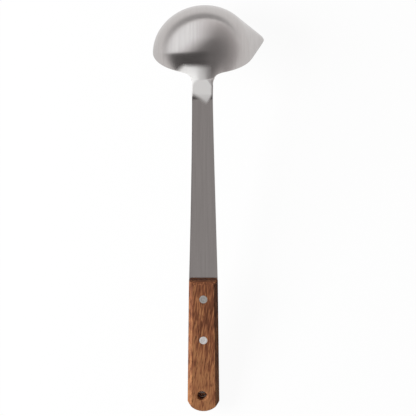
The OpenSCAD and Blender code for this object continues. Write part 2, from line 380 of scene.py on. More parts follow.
@dataclass(frozen=True)
class GroundRivetSteel:
    """Stainless steel, ground flush with the wood on a belt.

    Belt grinding leaves short straight scratches all one way, so a head looks matt, with little
    contrast. A head's paleness is partly painted highlight: with less metal, its colour scatters
    light as paint does. The scratches are about 0.05 mm wide and are drawn 0.4 mm wide so that they
    show.
    """

    name: str
    colour: str
    dull_colour: str
    # Less metal lets a pale head scatter light as paint, which is partly a painted highlight.
    metallic: float = 0.6
    roughness: float = 0.5
    roughness_spread: float = 0.06
    scratch_w: float = 0.4
    scratch_l: float = 6.0
    scratch_depth: float = 0.004
    scratch_detail: float = 2.0
    tint_range: tuple[float, float] = (0.35, 0.6)
    belt_turn: float = 35.0

    def material(self) -> bpy.types.Material:
        """Builds the finish with its scratches at one angle to the grip.

        Returns:
            The node material.
        """
        material, tree = new_material(self.name)
        place = add(tree, "ShaderNodeTexCoord").outputs["Object"]
        scratch = (self.scratch_w * MM, self.scratch_l * MM, self.scratch_l * MM)
        turn = (0.0, 0.0, math.radians(self.belt_turn))
        scratches = stretched_noise(tree, place, scratch, self.scratch_detail, turn=turn)
        tones = list(zip(self.tint_range, (self.dull_colour, self.colour)))
        tint = add(tree, "ShaderNodeValToRGB", {"Fac": scratches}, tones).outputs["Color"]
        dulled = add(
            tree,
            "ShaderNodeMapRange",
            {
                "Value": scratches,
                "From Min": NOISE_RANGE[0],
                "From Max": NOISE_RANGE[1],
                "To Min": self.roughness - self.roughness_spread,
                "To Max": self.roughness + self.roughness_spread,
            },
        )
        scored = {"Height": scratches, "Distance": self.scratch_depth * MM}
        metal = add(
            tree,
            "ShaderNodeBsdfPrincipled",
            {
                "Base Color": tint,
                "Metallic": self.metallic,
                "Roughness": dulled.outputs["Result"],
                "Normal": add(tree, "ShaderNodeBump", scored).outputs["Normal"],
            },
        )
        add(tree, "ShaderNodeOutputMaterial", {"Surface": metal.outputs["BSDF"]})
        return material


@dataclass(frozen=True)
class WoodLayer:
    """One size of streak in the wood: its width and length in millimetres and how much it tells."""

    width: float
    length: float
    weight: float


@dataclass(frozen=True)
class OiledRosewood:
    """Rosewood, planed, sanded and oiled, with its pores left open.

    Oil darkens the open pores to short dark dashes along the grain and leaves a low satin sheen.
    Real pores are about 0.2 mm wide. They are drawn 0.7 mm wide, which is the finest that shows.
    The wood is paler towards the butt. The grain runs along the grip, which leans as the ladle
    lies, at a small angle to it.
    """

    name: str = "oiled_rosewood"
    dark: str = "#6A412E"
    middle: str = "#8B583D"
    light: str = "#A5724D"
    pore: str = "#40261A"
    tone_stops: tuple[float, float, float] = (0.08, 0.5, 0.95)
    figure: tuple[WoodLayer, ...] = (
        WoodLayer(9.0, 90.0, 0.4),
        WoodLayer(2.0, 20.0, 0.6),
        WoodLayer(0.9, 9.0, 2.2),
    )
    # The wood goes from dark to light as the streaks' sum crosses this range. The sum rises by
    # this much for each metre towards the butt.
    figure_range: tuple[float, float] = (1.71, 2.43)
    paler_to_butt: float = 4.6
    pore_w: float = 0.7
    pore_l: float = 6.0
    pore_range: tuple[float, float] = (0.58, 0.7)
    pore_strength: float = 0.7
    pore_depth: float = 0.06
    pore_bump: float = 0.8
    streak_detail: float = 1.0
    grain_lean: float = 15.5
    grain_turn: float = 6.0
    roughness: float = 0.6
    pore_roughness: float = 0.85
    sheen_level: float = 0.15

    def material(self) -> bpy.types.Material:
        """Builds the wood from streaks of three sizes and its open pores.

        Returns:
            The node material.
        """
        material, tree = new_material(self.name)
        place = add(tree, "ShaderNodeTexCoord").outputs["Object"]
        turn = (-math.radians(self.grain_lean), 0, math.radians(self.grain_turn))
        turned = add(tree, "ShaderNodeMapping", {"Vector": place, "Rotation": turn})
        grain = turned.outputs["Vector"]
        slope = (0.0, -self.paler_to_butt, 0.0)
        paler = add(tree, "ShaderNodeVectorMath", {0: place, 1: slope}, operation="DOT_PRODUCT")
        figure = paler.outputs["Value"]
        for layer in self.figure:
            streak = (layer.width * MM, layer.length * MM, layer.width * MM)
            streaks = stretched_noise(tree, grain, streak, self.streak_detail)
            parts = {0: streaks, 1: layer.weight, 2: figure}
            figure = add(tree, "ShaderNodeMath", parts, operation="MULTIPLY_ADD").outputs["Value"]
        low, high = self.figure_range
        limits = {"Value": figure, "From Min": low, "From Max": high}
        spread = add(tree, "ShaderNodeMapRange", limits).outputs["Result"]
        tones = list(zip(self.tone_stops, (self.dark, self.middle, self.light)))
        wood = add(tree, "ShaderNodeValToRGB", {"Fac": spread}, tones).outputs["Color"]
        pore = (self.pore_w * MM, self.pore_l * MM, self.pore_w * MM)
        open_pores = add(
            tree,
            "ShaderNodeMapRange",
            {
                "Value": stretched_noise(tree, grain, pore, self.streak_detail),
                "From Min": self.pore_range[0],
                "From Max": self.pore_range[1],
                "To Min": 0.0,
                "To Max": self.pore_strength,
            },
        )
        pores = open_pores.outputs["Result"]
        tints = {"Factor": pores, TINT_A: wood, TINT_B: linear(self.pore)}
        stained = add(tree, "ShaderNodeMix", tints, data_type="RGBA")
        depths = {"Height": pores, "Distance": self.pore_depth * MM, "Strength": self.pore_bump}
        sunk = add(tree, "ShaderNodeBump", depths, invert=True)
        dullness = {"Value": pores, "To Min": self.roughness, "To Max": self.pore_roughness}
        sheen = add(tree, "ShaderNodeMapRange", dullness)
        oiled = add(
            tree,
            "ShaderNodeBsdfPrincipled",
            {
                "Base Color": stained.outputs[TINTED],
                "Roughness": sheen.outputs["Result"],
                "Specular IOR Level": self.sheen_level,
                "Normal": sunk.outputs["Normal"],
            },
        )
        add(tree, "ShaderNodeOutputMaterial", {"Surface": oiled.outputs["BSDF"]})
        return material


@dataclass
class LadleForm:
    """The ladle's sizes and its curved surfaces, upright, in millimetres and degrees."""

    bowl_r: float = 39.7
    bowl_depth: float = 36.7
    bottom_side: float = 1.6
    bowl_t: float = 1.4
    spout_reach_share: float = 1.43
    spout_round: float = 2.6
    spout_turn: float = 28.0
    neck_depth: float = 12.0
    neck_w: float = 16.0
    neck_flare: float = 1.2
    neck_lean: float = 40.0
    neck_in_r: float = 22.0
    neck_out_r: float = 12.0
    neck_rise: float = 9.5
    corner_r: float = 4.0
    swell_w: float = 17.0
    crest_w: float = 2.0
    handle_lean: float = 15.0
    handle_l: float = 250.5
    grip_l: float = 108.0
    sheet_t: float = 2.0
    grip_front_w: float = 22.6
    butt_w: float = 25.6
    butt_r: float = 14.3
    scale_t: float = 7.0
    scale_chamfer: float = 2.1
    rivet_head_d: float = 6.4
    rivet_head_t: float = 1.4
    rivet_socket_d: float = 4.6
    rivet_pin_d: float = 3.0
    rivet_front: float = 14.0
    rivet_pitch: float = 34.0
    hole_d: float = 7.4
    hole_back: float = 13.0
    hole_side: float = 0.9
    join_lap: float = 0.02
    shank_taper: float = 1.25
    pin_sunk: float = 0.15
    socket_gap: float = 0.3
    # The sizes below are the scene's own. They shape the flat of the neck as the light on it
    # shows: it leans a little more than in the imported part, and stands a little to the left.
    neck_side: float = -0.6
    neck_side_fade: float = 1.7
    pad_top: float = 1.2
    pad_lean: float = 43.5
    pad_corner_h: float = 6.0
    crest_spare: float = 1.0

    def __post_init__(self) -> None:
        """Works out the neck's profile, the places along the handle and how the ladle lies."""
        lean, out = math.radians(self.neck_lean), math.radians(self.handle_lean)
        pad_lean = math.radians(self.pad_lean)
        self.neck_half = self.neck_w / 2
        self.half_angle = math.acos(1 / self.spout_reach_share)
        self.soft_angle = math.radians(self.spout_round)
        self.in_h = -self.neck_depth
        self.in_y = self.bowl_r * math.sqrt(1 - (self.in_h / self.bowl_depth) ** 2)
        squat = (self.bowl_r / self.bowl_depth) ** 2
        self.in_lean = math.atan(squat * self.neck_depth / self.in_y)
        self.flank_h = self.in_h + self.neck_in_r * (math.sin(lean) - math.sin(self.in_lean))
        self.flank_y = self.in_y + self.neck_in_r * (math.cos(self.in_lean) - math.cos(lean))
        self.out_h = self.neck_rise
        self.out_y = self.flank_y + (self.out_h - self.flank_h) * math.tan(lean)
        self.pad_y = self.out_y - (self.out_h - self.pad_top) * math.tan(pad_lean)
        self.root_h = self.out_h + self.neck_out_r * (math.sin(lean) - math.sin(out))
        self.root_y = self.out_y + self.neck_out_r * (math.cos(out) - math.cos(lean))
        self.grip_start = self.handle_l - self.grip_l
        self.butt_centre = self.handle_l - self.butt_r
        self.upper_rivet_at = self.grip_start + self.rivet_front
        self.lower_rivet_at = self.upper_rivet_at + self.rivet_pitch
        self.hole_at = self.handle_l - self.hole_back
        self.back_face = self.sheet_t / 2 + self.scale_t
        self.corner_half = self.neck_half_at(0)
        self.place_laid()

    def place_laid(self) -> None:
        """Works out how the ladle lies, on the far edge of its rim and on its butt."""
        out = math.radians(self.handle_lean)
        along_y, along_h = self.handle_l * math.sin(out), self.handle_l * math.cos(out)
        front = self.sheet_t + self.scale_t - self.join_lap
        touch_y = self.root_y + along_y - front * math.cos(out)
        touch_h = self.root_h + along_h + front * math.sin(out)
        tilt = math.atan(touch_h / (touch_y + self.bowl_r))
        spout_x = self.bowl_r * math.cos(math.radians(self.spout_turn))
        spout_x /= math.cos(self.half_angle - self.soft_angle)
        far_y = math.hypot(self.bowl_r * math.cos(tilt), self.bowl_depth * math.sin(tilt))
        back = self.scale_t + self.join_lap
        back_y = self.root_y + along_y + back * math.cos(out)
        back_h = self.root_h + along_h - back * math.sin(out)
        near_y = -back_y * math.cos(tilt) - back_h * math.sin(tilt)
        origin = ((self.bowl_r - spout_x) / 2, -(far_y + near_y) / 2, self.bowl_r * math.sin(tilt))
        self.laid = (
            Matrix.Scale(MM, 4)
            @ Matrix.Translation(origin)
            @ Matrix.Rotation(math.pi - tilt, 4, "X")
        )
        self.on_handle = (
            self.laid
            @ Matrix.Translation((0, self.root_y, self.root_h))
            @ Matrix.Rotation(-out, 4, "X")
            @ Matrix.Translation((0, self.join_lap - self.sheet_t / 2, 0))
        )

    def bowl_wall_y(self, h: float) -> float:
        """Gives the bowl's radius over the steel at a height, which is negative below the rim."""
        share = min(0.0, h) / self.bowl_depth
        return self.bowl_r * math.sqrt(max(0.0, 1 - share**2))

    def round_wall_y(self, x: float, h: float) -> float:
        """Gives how far the round wall stands from the bowl's axis towards the handle."""
        return math.sqrt(max(0.0, self.bowl_wall_y(h) ** 2 - x * x))

    def spout_share(self, gap: float) -> float:
        """Gives the spout's reach as a share of the bowl's radius, at an angle from the spout."""
        soft_gap = math.hypot(gap, self.soft_angle)
        return 1 / math.cos(self.half_angle - soft_gap) if soft_gap < self.half_angle else 1.0

    def neck_y(self, h: float) -> float:
        """Gives the distance from the bowl's axis to the neck's back, on its centre line.

        Args:
            h: Height over the rim.

        Returns:
            The distance, through the bend from the bowl, the flat and the bend into the shank.
        """
        lean = math.radians(self.neck_lean)
        if h < self.in_h:
            return self.bowl_wall_y(h)
        if h < self.pad_top:
            run = self.pad_top - self.in_h
            along = (h - self.in_h) / run
            straight = run * math.tan(self.in_lean)
            return self.in_y + straight * along + (self.pad_y - self.in_y - straight) * along**2
        if h < self.out_h:
            return self.out_y - (self.out_h - h) * math.tan(math.radians(self.pad_lean))
        here = math.asin(math.sin(lean) - (h - self.out_h) / self.neck_out_r)
        return self.out_y + self.neck_out_r * (math.cos(here) - math.cos(lean))

    def swell(self, x: float, h: float) -> float:
        """Gives how far the steel stands out of the round wall towards the handle.

        Args:
            x: Distance from the neck's centre line.
            h: Height over the rim.

        Returns:
            The distance out of the wall.
        """
        rise = max(0.0, min(1.0, (h - self.pad_top) / self.pad_corner_h))
        crest = mix(self.crest_w, self.neck_half + self.crest_spare, math.sqrt(rise))
        across = ease((self.swell_w - abs(x - self.neck_side)) / (self.swell_w - crest))
        flatness = max(0.0, min(1.0, (h - self.in_h) / (self.pad_top - self.in_h))) ** 2
        wall = self.bowl_wall_y(h)
        return across * (self.neck_y(h) - wall + flatness * (wall - self.round_wall_y(x, h)))

    def bowl_skin(self, bearing: float, dip: float) -> Vector:
        """Gives a point on the outside of the bowl.

        Args:
            bearing: Angle round the bowl's axis from the ladle's right, in radians.
            dip: Angle below the rim, in radians.

        Returns:
            The point.
        """
        turned = bearing + math.radians(self.spout_turn)
        gap = math.acos(max(-1.0, min(1.0, math.cos(dip) * math.cos(turned))))
        share = self.spout_share(gap)
        x = self.bowl_r * share * math.cos(dip) * math.cos(bearing)
        y = self.bowl_r * share * math.cos(dip) * math.sin(bearing)
        h = -self.bowl_depth * share * math.sin(dip)
        outward = self.swell(x, h) if y > 0 else 0.0
        return Vector((x + self.bottom_side * math.sin(dip) ** 2, y + outward, h))

    def neck_skin(self, x: float, h: float) -> Vector:
        """Gives a point on the neck's back, at a distance across it and a height over the rim."""
        return Vector((x, self.round_wall_y(x, h) + self.swell(x, h), h))

    def neck_half_at(self, h: float, inset: float = 0.0) -> float:
        """Gives the neck's half width at a height, with its rounded corners beside the rim.

        Args:
            h: Height over the rim.
            inset: How far inside the edge the width is measured.

        Returns:
            Half the width.
        """
        low, r = max(0.0, self.corner_r - h), self.corner_r + inset
        corner = r - math.sqrt(max(0.0, r**2 - low**2))
        flare = self.neck_flare * max(0.0, 1 - max(h, 0.0) / self.out_h) ** 2
        return (self.neck_w + flare) / 2 - inset + corner

    def shank_half(self, z: float) -> float:
        """Gives the shank's half width at a distance from the end of the neck."""
        share = (max(0.0, z) / self.grip_start) ** self.shank_taper
        return mix(self.neck_half, self.grip_front_w / 2, share)

    def neck_middle_at(self, z: float) -> float:
        """Gives how far the shank's middle stands aside, at a distance from the end of the neck."""
        left = max(0.0, 1 - max(0.0, z) / self.grip_start)
        return self.neck_side * left**self.neck_side_fade

    def steel_t(self, p: Vector) -> float:
        """Gives the steel's thickness at a point of the bowl or neck.

        Args:
            p: The point, upright.

        Returns:
            The thickness, which grows from the drawn bowl to the sheet of the neck.
        """
        if p.y < 0:
            return self.bowl_t
        across = ease((self.swell_w - abs(p.x)) / (self.swell_w - self.neck_half))
        up = ease((p.z - self.in_h) / (self.corner_r - self.in_h))
        return mix(self.bowl_t, self.sheet_t - 2 * self.join_lap, across * up)


def finish_piece(
    bm: bmesh.types.BMesh, name: str, nodes: list[str], material: bpy.types.Material
) -> bpy.types.Object:
    """Turns a built mesh into a dressed piece that rides on the ladle.

    Args:
        bm: The built mesh, in metres and in place.
        name: The piece's name.
        nodes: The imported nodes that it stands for.
        material: The finish.

    Returns:
        The piece.
    """
    mesh = bpy.data.meshes.new(name)
    bm.to_mesh(mesh)
    bm.free()
    mesh.shade_smooth()
    mesh.materials.append(material)
    piece = bpy.data.objects.new(name, mesh)
    bpy.context.scene.collection.objects.link(piece)
    even = piece.modifiers.new("flat faces stay flat", "WEIGHTED_NORMAL")
    even.weight = LARGE_FACES_FIRST
    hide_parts(*nodes)
    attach(piece, "root")
    log.info("%s: %d faces", name, len(mesh.polygons))
    return piece


def only(kind: type, parts: Iterable[Any]) -> list[Any]:
    """Picks out the parts of one kind, such as the edges, from what an operator made."""
    return [p for p in parts if isinstance(p, kind)]


def grip_plate(
    bm: bmesh.types.BMesh, form: LadleForm, rivet_r: float, low: float, thickness: float
) -> None:
    """Makes a plate with the grip's outline, its hanging hole and holes for both rivets.

    Args:
        bm: The mesh that gets the plate, in the handle's frame.
        form: The ladle's sizes.
        rivet_r: The radius of the holes for the rivets.
        low: Where the plate's front face lies, towards the back of the handle.
        thickness: The plate's thickness towards the back.
    """
    slope = (form.butt_w - form.grip_front_w) / 2 / form.grip_l
    front = form.grip_front_w / 2
    reach = form.butt_centre - form.grip_start
    # The straight side meets the butt's circle at the root of a x^2 + 2 b x + c = 0.
    a, b = 1 + slope**2, slope * (front + slope * reach)
    c = (front + slope * reach) ** 2 - form.butt_r**2
    past = (-b + math.sqrt(b * b - a * c)) / a
    start = Vector((front + slope * (reach + past), low, form.butt_centre + past))
    turn = 2 * math.atan2(start.x, past)
    first = bm.verts.new(start)
    spun = bmesh.ops.spin(
        bm,
        geom=[first],
        cent=(0, low, form.butt_centre),
        axis=(0, -1, 0),
        dvec=(0, 0, 0),
        angle=turn,
        steps=BUTT_STEPS,
        use_merge=False,
        use_duplicate=False,
    )
    last = only(bmesh.types.BMVert, spun["geom_last"])[0]
    left = bm.verts.new((-front, low, form.grip_start))
    right = bm.verts.new((front, low, form.grip_start))
    for ends in ((last, left), (left, right), (right, first)):
        bm.edges.new(ends)
    rivets = [(0.0, at, rivet_r) for at in (form.upper_rivet_at, form.lower_rivet_at)]
    for x, z, radius in rivets + [(-form.hole_side, form.hole_at, form.hole_d / 2)]:
        bmesh.ops.create_circle(
            bm,
            segments=TURN_STEPS,
            radius=radius,
            matrix=Matrix.Translation((x, low, z)) @ Matrix.Rotation(math.pi / 2, 4, "X"),
        )
    bmesh.ops.triangle_fill(bm, edges=bm.edges[:], use_beauty=True)
    made = bmesh.ops.extrude_face_region(bm, geom=bm.faces[:], use_keep_orig=True)
    risen = only(bmesh.types.BMVert, made["geom"])
    bmesh.ops.translate(bm, vec=(0, thickness, 0), verts=risen)
    bmesh.ops.recalc_face_normals(bm, faces=bm.faces)


def bevel(bm: bmesh.types.BMesh, edges: list[bmesh.types.BMEdge], radius: float) -> None:
    """Rounds the given edges.

    Args:
        bm: The mesh.
        edges: The edges.
        radius: How far the rounding reaches from the edge.
    """
    bmesh.ops.bevel(
        bm,
        geom=edges,
        offset=radius,
        offset_type="OFFSET",
        segments=BEVEL_STEPS,
        profile=ARC,
        affect="EDGES",
        clamp_overlap=False,
        material=-1,
    )


def round_edges(
    bm: bmesh.types.BMesh, least: float, radius: float, front: Optional[float] = None
) -> None:
    """Rounds the sharp edges of a mesh.

    Args:
        bm: The mesh.
        least: The smallest angle between two faces that counts as sharp, in degrees.
        radius: How far the rounding reaches from the edge.
        front: Edges at this distance along the handle stay sharp, because they meet another piece.
    """
    sharp = [e for e in bm.edges if e.is_manifold and e.calc_face_angle() > math.radians(least)]
    if front is not None:
        sharp = [e for e in sharp if any(abs(v.co.z - front) > radius for v in e.verts)]
    bevel(bm, sharp, radius)


@dataclass
class PressedBlank:
    """Bowl, neck and shank, pressed from one sheet, and the flat tang between the scales."""

    form: LadleForm
    finish: bpy.types.Material
    tang_finish: bpy.types.Material
    # Faces across the neck, from there to the spout's tip, and from the tip back to the neck.
    neck_columns: int = 24
    spout_columns: int = 60
    far_columns: int = 92
    # Faces from the bowl's bottom to its rim, and from the rim up the neck and the shank.
    rings: int = 64
    neck_rows: int = 88
    shank_rows: int = 40
    # How much the faces crowd towards the spout's tip and towards the rim; 1 is not at all.
    crowding: float = 1.4
    row_crowding: float = 1.35
    edge_round: float = 0.35
    edge_steps: int = 6
    # The smooth skin is set this far inwards, so that it doesn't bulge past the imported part,
    # whose skin is made of flat faces.
    skin_in: float = 0.04
    merge_gap: float = 0.01
    tang_round: float = 0.4
    tang_sharp: float = 60.0

    def side_at(self, column: int) -> float:
        """Gives a neck column's place across the neck, from -1 at the left to 1 at the right."""
        return 2 * column / self.neck_columns - 1

    def bearing_at(self, column: int) -> float:
        """Gives the bearing of a column of the bowl's grid.

        Args:
            column: The column, counted from the neck's left side round by the spout.

        Returns:
            The bearing in radians. The columns crowd towards the spout's tip.
        """
        form = self.form
        column = min(column, self.neck_columns + self.spout_columns + self.far_columns)
        spout = -math.radians(form.spout_turn)
        if column <= self.neck_columns:
            across = form.neck_side + self.side_at(column) * form.corner_half
            return math.acos(across / form.bowl_r)
        if column <= self.neck_columns + self.spout_columns:
            share = (column - self.neck_columns) / self.spout_columns
            return mix(spout, self.bearing_at(self.neck_columns), (1 - share) ** self.crowding)
        share = (column - self.neck_columns - self.spout_columns) / self.far_columns
        return mix(spout, self.bearing_at(0) - math.tau, share**self.crowding)

    def lay_grid(
        self,
        bm: bmesh.types.BMesh,
        columns: int,
        rows: int,
        place: Callable[[int, int], tuple[Vector, tuple[float, float]]],
    ) -> None:
        """Lays a grid on a surface and notes where each corner is on the brushed sheet.

        Args:
            bm: The mesh that gets the grid.
            columns: Faces across the grid.
            rows: Faces up the grid.
            place: Gives the point and the brush coordinates of a column and row.
        """
        uv = bm.loops.layers.uv[BRUSH_MAP]
        half = 0.5
        made = bmesh.ops.create_grid(bm, x_segments=columns, y_segments=rows, size=half)
        at = {}
        for v in made["verts"]:
            column, row = round((v.co.x + half) * columns), round((v.co.y + half) * rows)
            v.co, at[v] = place(column, row)
        for face in {f for v in made["verts"] for f in v.link_faces}:
            for loop in face.loops:
                loop[uv].uv = at[loop.vert]

    def bowl_place(self, column: int, row: int) -> tuple[Vector, tuple[float, float]]:
        """Gives a point of the bowl, brushed lengthwise like the handle.

        Args:
            column: The column, from the neck round by the spout.
            row: The row, from the bottom up to the rounding of the rim.

        Returns:
            The point and its brush coordinates.
        """
        form = self.form
        bearing = self.bearing_at(column)
        from_spout = math.remainder(bearing + math.radians(form.spout_turn), math.tau)
        share = form.spout_share(abs(from_spout))
        rim_dip = math.asin(self.edge_round / (form.bowl_depth * share))
        p = form.bowl_skin(bearing, mix(math.pi / 2, rim_dip, row / self.rings))
        depth = -p.z * form.bowl_r / form.bowl_depth
        return p, (form.bowl_r * math.atan2(depth, p.y), p.x)

    def strip_place(self, column: int, row: int) -> tuple[Vector, tuple[float, float]]:
        """Gives a point of the neck or shank, brushed lengthwise.

        Args:
            column: The column, from the left.
            row: The row, from the rim to the front of the grip.

        Returns:
            The point and its brush coordinates.
        """
        form = self.form
        side = self.side_at(column)
        if row <= self.neck_rows:
            h = mix(-self.edge_round, form.root_h, (row / self.neck_rows) ** self.row_crowding)
            x = form.neck_side + side * form.neck_half_at(h, self.edge_round)
            return form.neck_skin(x, h), (-h, x)
        z = form.grip_start * (row - self.neck_rows) / self.shank_rows
        lean = math.radians(form.handle_lean)
        x = form.neck_middle_at(z) + side * (form.shank_half(z) - self.edge_round)
        point = Vector((x, form.root_y + z * math.sin(lean), form.root_h + z * math.cos(lean)))
        return point, (-form.root_h - z, x)

    def thicken(self, bm: bmesh.types.BMesh) -> None:
        """Gives the open skin its steel, inwards from the back, and rounds its edges.

        Args:
            bm: The skin. Its rim stands back from the real edge by the size of the rounding.
        """
        inward = bm.verts.layers.float_vector.new("inward")
        aside = bm.verts.layers.float_vector.new("aside")
        bm.normal_update()
        for v in bm.verts:
            v[inward] = -v.normal * (self.form.steel_t(v.co) - self.skin_in)
            v.co -= v.normal * self.skin_in
        outline = [e for e in bm.edges if e.is_boundary]
        for edge in outline:
            if not all(self.strip_end(v.co) for v in edge.verts):
                for v in edge.verts:
                    v[aside] -= edge.calc_tangent(edge.link_loops[0])
        back = bmesh.ops.duplicate(bm, geom=bm.verts[:] + bm.edges[:] + bm.faces[:])["geom"]
        for v in only(bmesh.types.BMVert, back):
            v.co += v[inward]
        bmesh.ops.reverse_faces(bm, faces=only(bmesh.types.BMFace, back))
        start = {v: v.co.copy() for e in outline for v in e.verts}
        reach = {v: (v[inward].copy(), v[aside].normalized() * self.edge_round) for v in start}
        source = {v: v for v in start}
        for step in range(1, self.edge_steps + 1):
            turn = math.pi * step / self.edge_steps
            made = bmesh.ops.extrude_edge_only(bm, edges=outline)
            outline = only(bmesh.types.BMEdge, made["geom"])
            fresh = {}
            for v in only(bmesh.types.BMVert, made["geom"]):
                below = next(e.other_vert(v) for e in v.link_edges if e.other_vert(v) in source)
                first = source[below]
                fresh[v] = first
                inwards, outwards = reach[first]
                across = inwards * (1 - math.cos(turn)) / 2
                v.co = start[first] + across + outwards * math.sin(turn)
            source = fresh
        for name in ("aside", "inward"):
            bm.verts.layers.float_vector.remove(bm.verts.layers.float_vector[name])
        bmesh.ops.remove_doubles(bm, verts=bm.verts, dist=WELD)
        bmesh.ops.recalc_face_normals(bm, faces=bm.faces)

    def strip_end(self, p: Vector) -> bool:
        """Tells whether a point lies on the blank's last row, which meets the tang."""
        lean = math.radians(self.form.handle_lean)
        return p.z > self.form.root_h + self.form.grip_start * math.cos(lean) - 2 * self.edge_round

    def build_pressing(self) -> bpy.types.Object:
        """Builds the bowl, neck and shank as one smooth wall with rounded edges.

        Returns:
            The piece.
        """
        bm = bmesh.new()
        bm.loops.layers.uv.new(BRUSH_MAP)
        columns = self.neck_columns + self.spout_columns + self.far_columns
        self.lay_grid(bm, columns, self.rings, self.bowl_place)
        self.lay_grid(bm, self.neck_columns, self.neck_rows + self.shank_rows, self.strip_place)
        bmesh.ops.remove_doubles(bm, verts=bm.verts, dist=self.merge_gap)
        bmesh.ops.reverse_faces(bm, faces=bm.faces)
        self.thicken(bm)
        bmesh.ops.transform(bm, matrix=self.form.laid, verts=bm.verts)
        return finish_piece(bm, "pressed_blank", ["ladle_blank"], self.finish)

    def build_tang(self) -> bpy.types.Object:
        """Builds the flat tang with its three bores.

        Returns:
            The piece.
        """
        form = self.form
        bm = bmesh.new()
        grip_plate(bm, form, form.rivet_socket_d / 2, -form.sheet_t / 2, form.sheet_t)
        round_edges(bm, self.tang_sharp, self.tang_round, form.grip_start)
        bmesh.ops.transform(bm, matrix=form.on_handle, verts=bm.verts)
        return finish_piece(bm, "tang", ["ladle_blank"], self.tang_finish)


class Face(Enum):
    """The two faces of the handle: the back shows when the ladle lies face down."""

    BACK = 1
    FRONT = -1


@dataclass
class GripScale:
    """One wooden scale, chamfered at its sides and front, with rivet recesses and a hanging hole.

    The side chamfers and the rounding of the hole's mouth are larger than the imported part's, as
    the light on them shows.
    """

    form: LadleForm
    finish: bpy.types.Material
    face: Face
    edge_round: float = 0.2
    side_chamfer: float = 3.1
    hole_round: float = 1.2
    sharp: float = 35.0
    recess_gap: float = 0.05

    def chamfer(self, bm: bmesh.types.BMesh, corner: Vector, outward: Vector, width: float) -> None:
        """Cuts the scale back to a plane and closes the cut.

        Args:
            bm: The mesh.
            corner: A point of the edge that is cut away.
            outward: The direction out of the scale, square to the cut.
            width: How much of each face the cut takes.
        """
        cut = corner - outward * (width / math.sqrt(2))
        made = bmesh.ops.bisect_plane(
            bm,
            geom=bm.verts[:] + bm.edges[:] + bm.faces[:],
            plane_co=cut,
            plane_no=outward,
            clear_outer=True,
        )
        bmesh.ops.contextual_create(bm, geom=only(bmesh.types.BMEdge, made["geom_cut"]))

    def build(self) -> bpy.types.Object:
        """Builds the scale in the handle's frame and lays it on the tang.

        Returns:
            The piece.
        """
        form = self.form
        bm = bmesh.new()
        recess_r = form.rivet_head_d / 2 + self.recess_gap
        grip_plate(bm, form, recess_r, form.sheet_t / 2, form.scale_t)
        slope = math.atan((form.butt_w - form.grip_front_w) / 2 / form.grip_l)
        for side in (-1, 1):
            corner = Vector((side * form.grip_front_w / 2, form.back_face, form.grip_start))
            out = Vector((side * math.cos(slope), 1, -math.sin(slope))).normalized()
            self.chamfer(bm, corner, out, self.side_chamfer)
        front = Vector((0, form.back_face, form.grip_start))
        self.chamfer(bm, front, Vector((0, 1, -1)).normalized(), form.scale_chamfer)
        bmesh.ops.recalc_face_normals(bm, faces=bm.faces)
        hole = Vector((-form.hole_side, form.back_face, form.hole_at))
        near = form.hole_d / 2 + self.edge_round
        mouth = [e for e in bm.edges if all((v.co - hole).length < near for v in e.verts)]
        bevel(bm, mouth, self.hole_round)
        round_edges(bm, self.sharp, self.edge_round)
        if self.face is Face.FRONT:
            bmesh.ops.transform(bm, matrix=Matrix.Scale(-1, 4, (0, 1, 0)), verts=bm.verts)
            bmesh.ops.reverse_faces(bm, faces=bm.faces)
        bmesh.ops.transform(bm, matrix=form.on_handle, verts=bm.verts)
        name, node = {
            Face.BACK: ("back_scale", "rear_scale"),
            Face.FRONT: ("front_scale_dressed", "front_scale"),
        }[self.face]
        return finish_piece(bm, name, [node], self.finish)


@dataclass
class Rivet:
    """A compression rivet: a socket from the back of the grip and a pin from the front."""

    form: LadleForm
    finish: bpy.types.Material
    name: str
    at: float
    head_round: float = 0.22
    sharp: float = 50.0

    def turn_profile(
        self, profile: list[tuple[float, float]], name: str
    ) -> bpy.types.Object:
        """Turns a profile about the rivet's axis.

        Args:
            profile: Radius and place towards the back for each corner of the profile.
            name: The piece's name, which is also that of the node it stands for.

        Returns:
            The piece.
        """
        bm = bmesh.new()
        verts = [bm.verts.new((r, y, self.at)) for r, y in profile]
        for a, b in zip(verts, verts[1:]):
            bm.edges.new((a, b))
        if profile[0][0] > 0:
            bm.edges.new((verts[-1], verts[0]))
        bmesh.ops.spin(
            bm,
            geom=bm.verts[:] + bm.edges[:],
            cent=(0, 0, self.at),
            axis=(0, 1, 0),
            dvec=(0, 0, 0),
            angle=math.tau,
            steps=TURN_STEPS,
            use_merge=True,
            use_duplicate=False,
        )
        bmesh.ops.remove_doubles(bm, verts=bm.verts, dist=WELD)
        bmesh.ops.recalc_face_normals(bm, faces=bm.faces)
        round_edges(bm, self.sharp, self.head_round)
        bmesh.ops.transform(bm, matrix=self.form.on_handle, verts=bm.verts)
        return finish_piece(bm, name + "_turned", [name], self.finish)

    def build(self) -> list[bpy.types.Object]:
        """Builds the socket and the pin.

        Returns:
            The two pieces.
        """
        form = self.form
        head, tube, bore = form.rivet_head_d / 2, form.rivet_socket_d / 2, form.rivet_pin_d / 2
        under = form.back_face - form.rivet_head_t
        mouth = form.socket_gap - under
        socket = [
            (bore, mouth),
            (tube, mouth),
            (tube, under),
            (head, under),
            (head, form.back_face),
            (bore, form.back_face),
        ]
        pin = [
            (0, -form.back_face),
            (head, -form.back_face),
            (head, -under),
            (bore, -under),
            (bore, form.back_face - form.pin_sunk),
            (0, form.back_face - form.pin_sunk),
        ]
        return [
            self.turn_profile(socket, self.name + "_rivet_socket"),
            self.turn_profile(pin, self.name + "_rivet_pin"),
        ]


@dataclass(frozen=True)
class Panel:
    """A soft-edged part of the painted room, in directions right, far and up, and its light."""

    level: float
    colour: str
    borders: tuple[SoftEdge, ...]


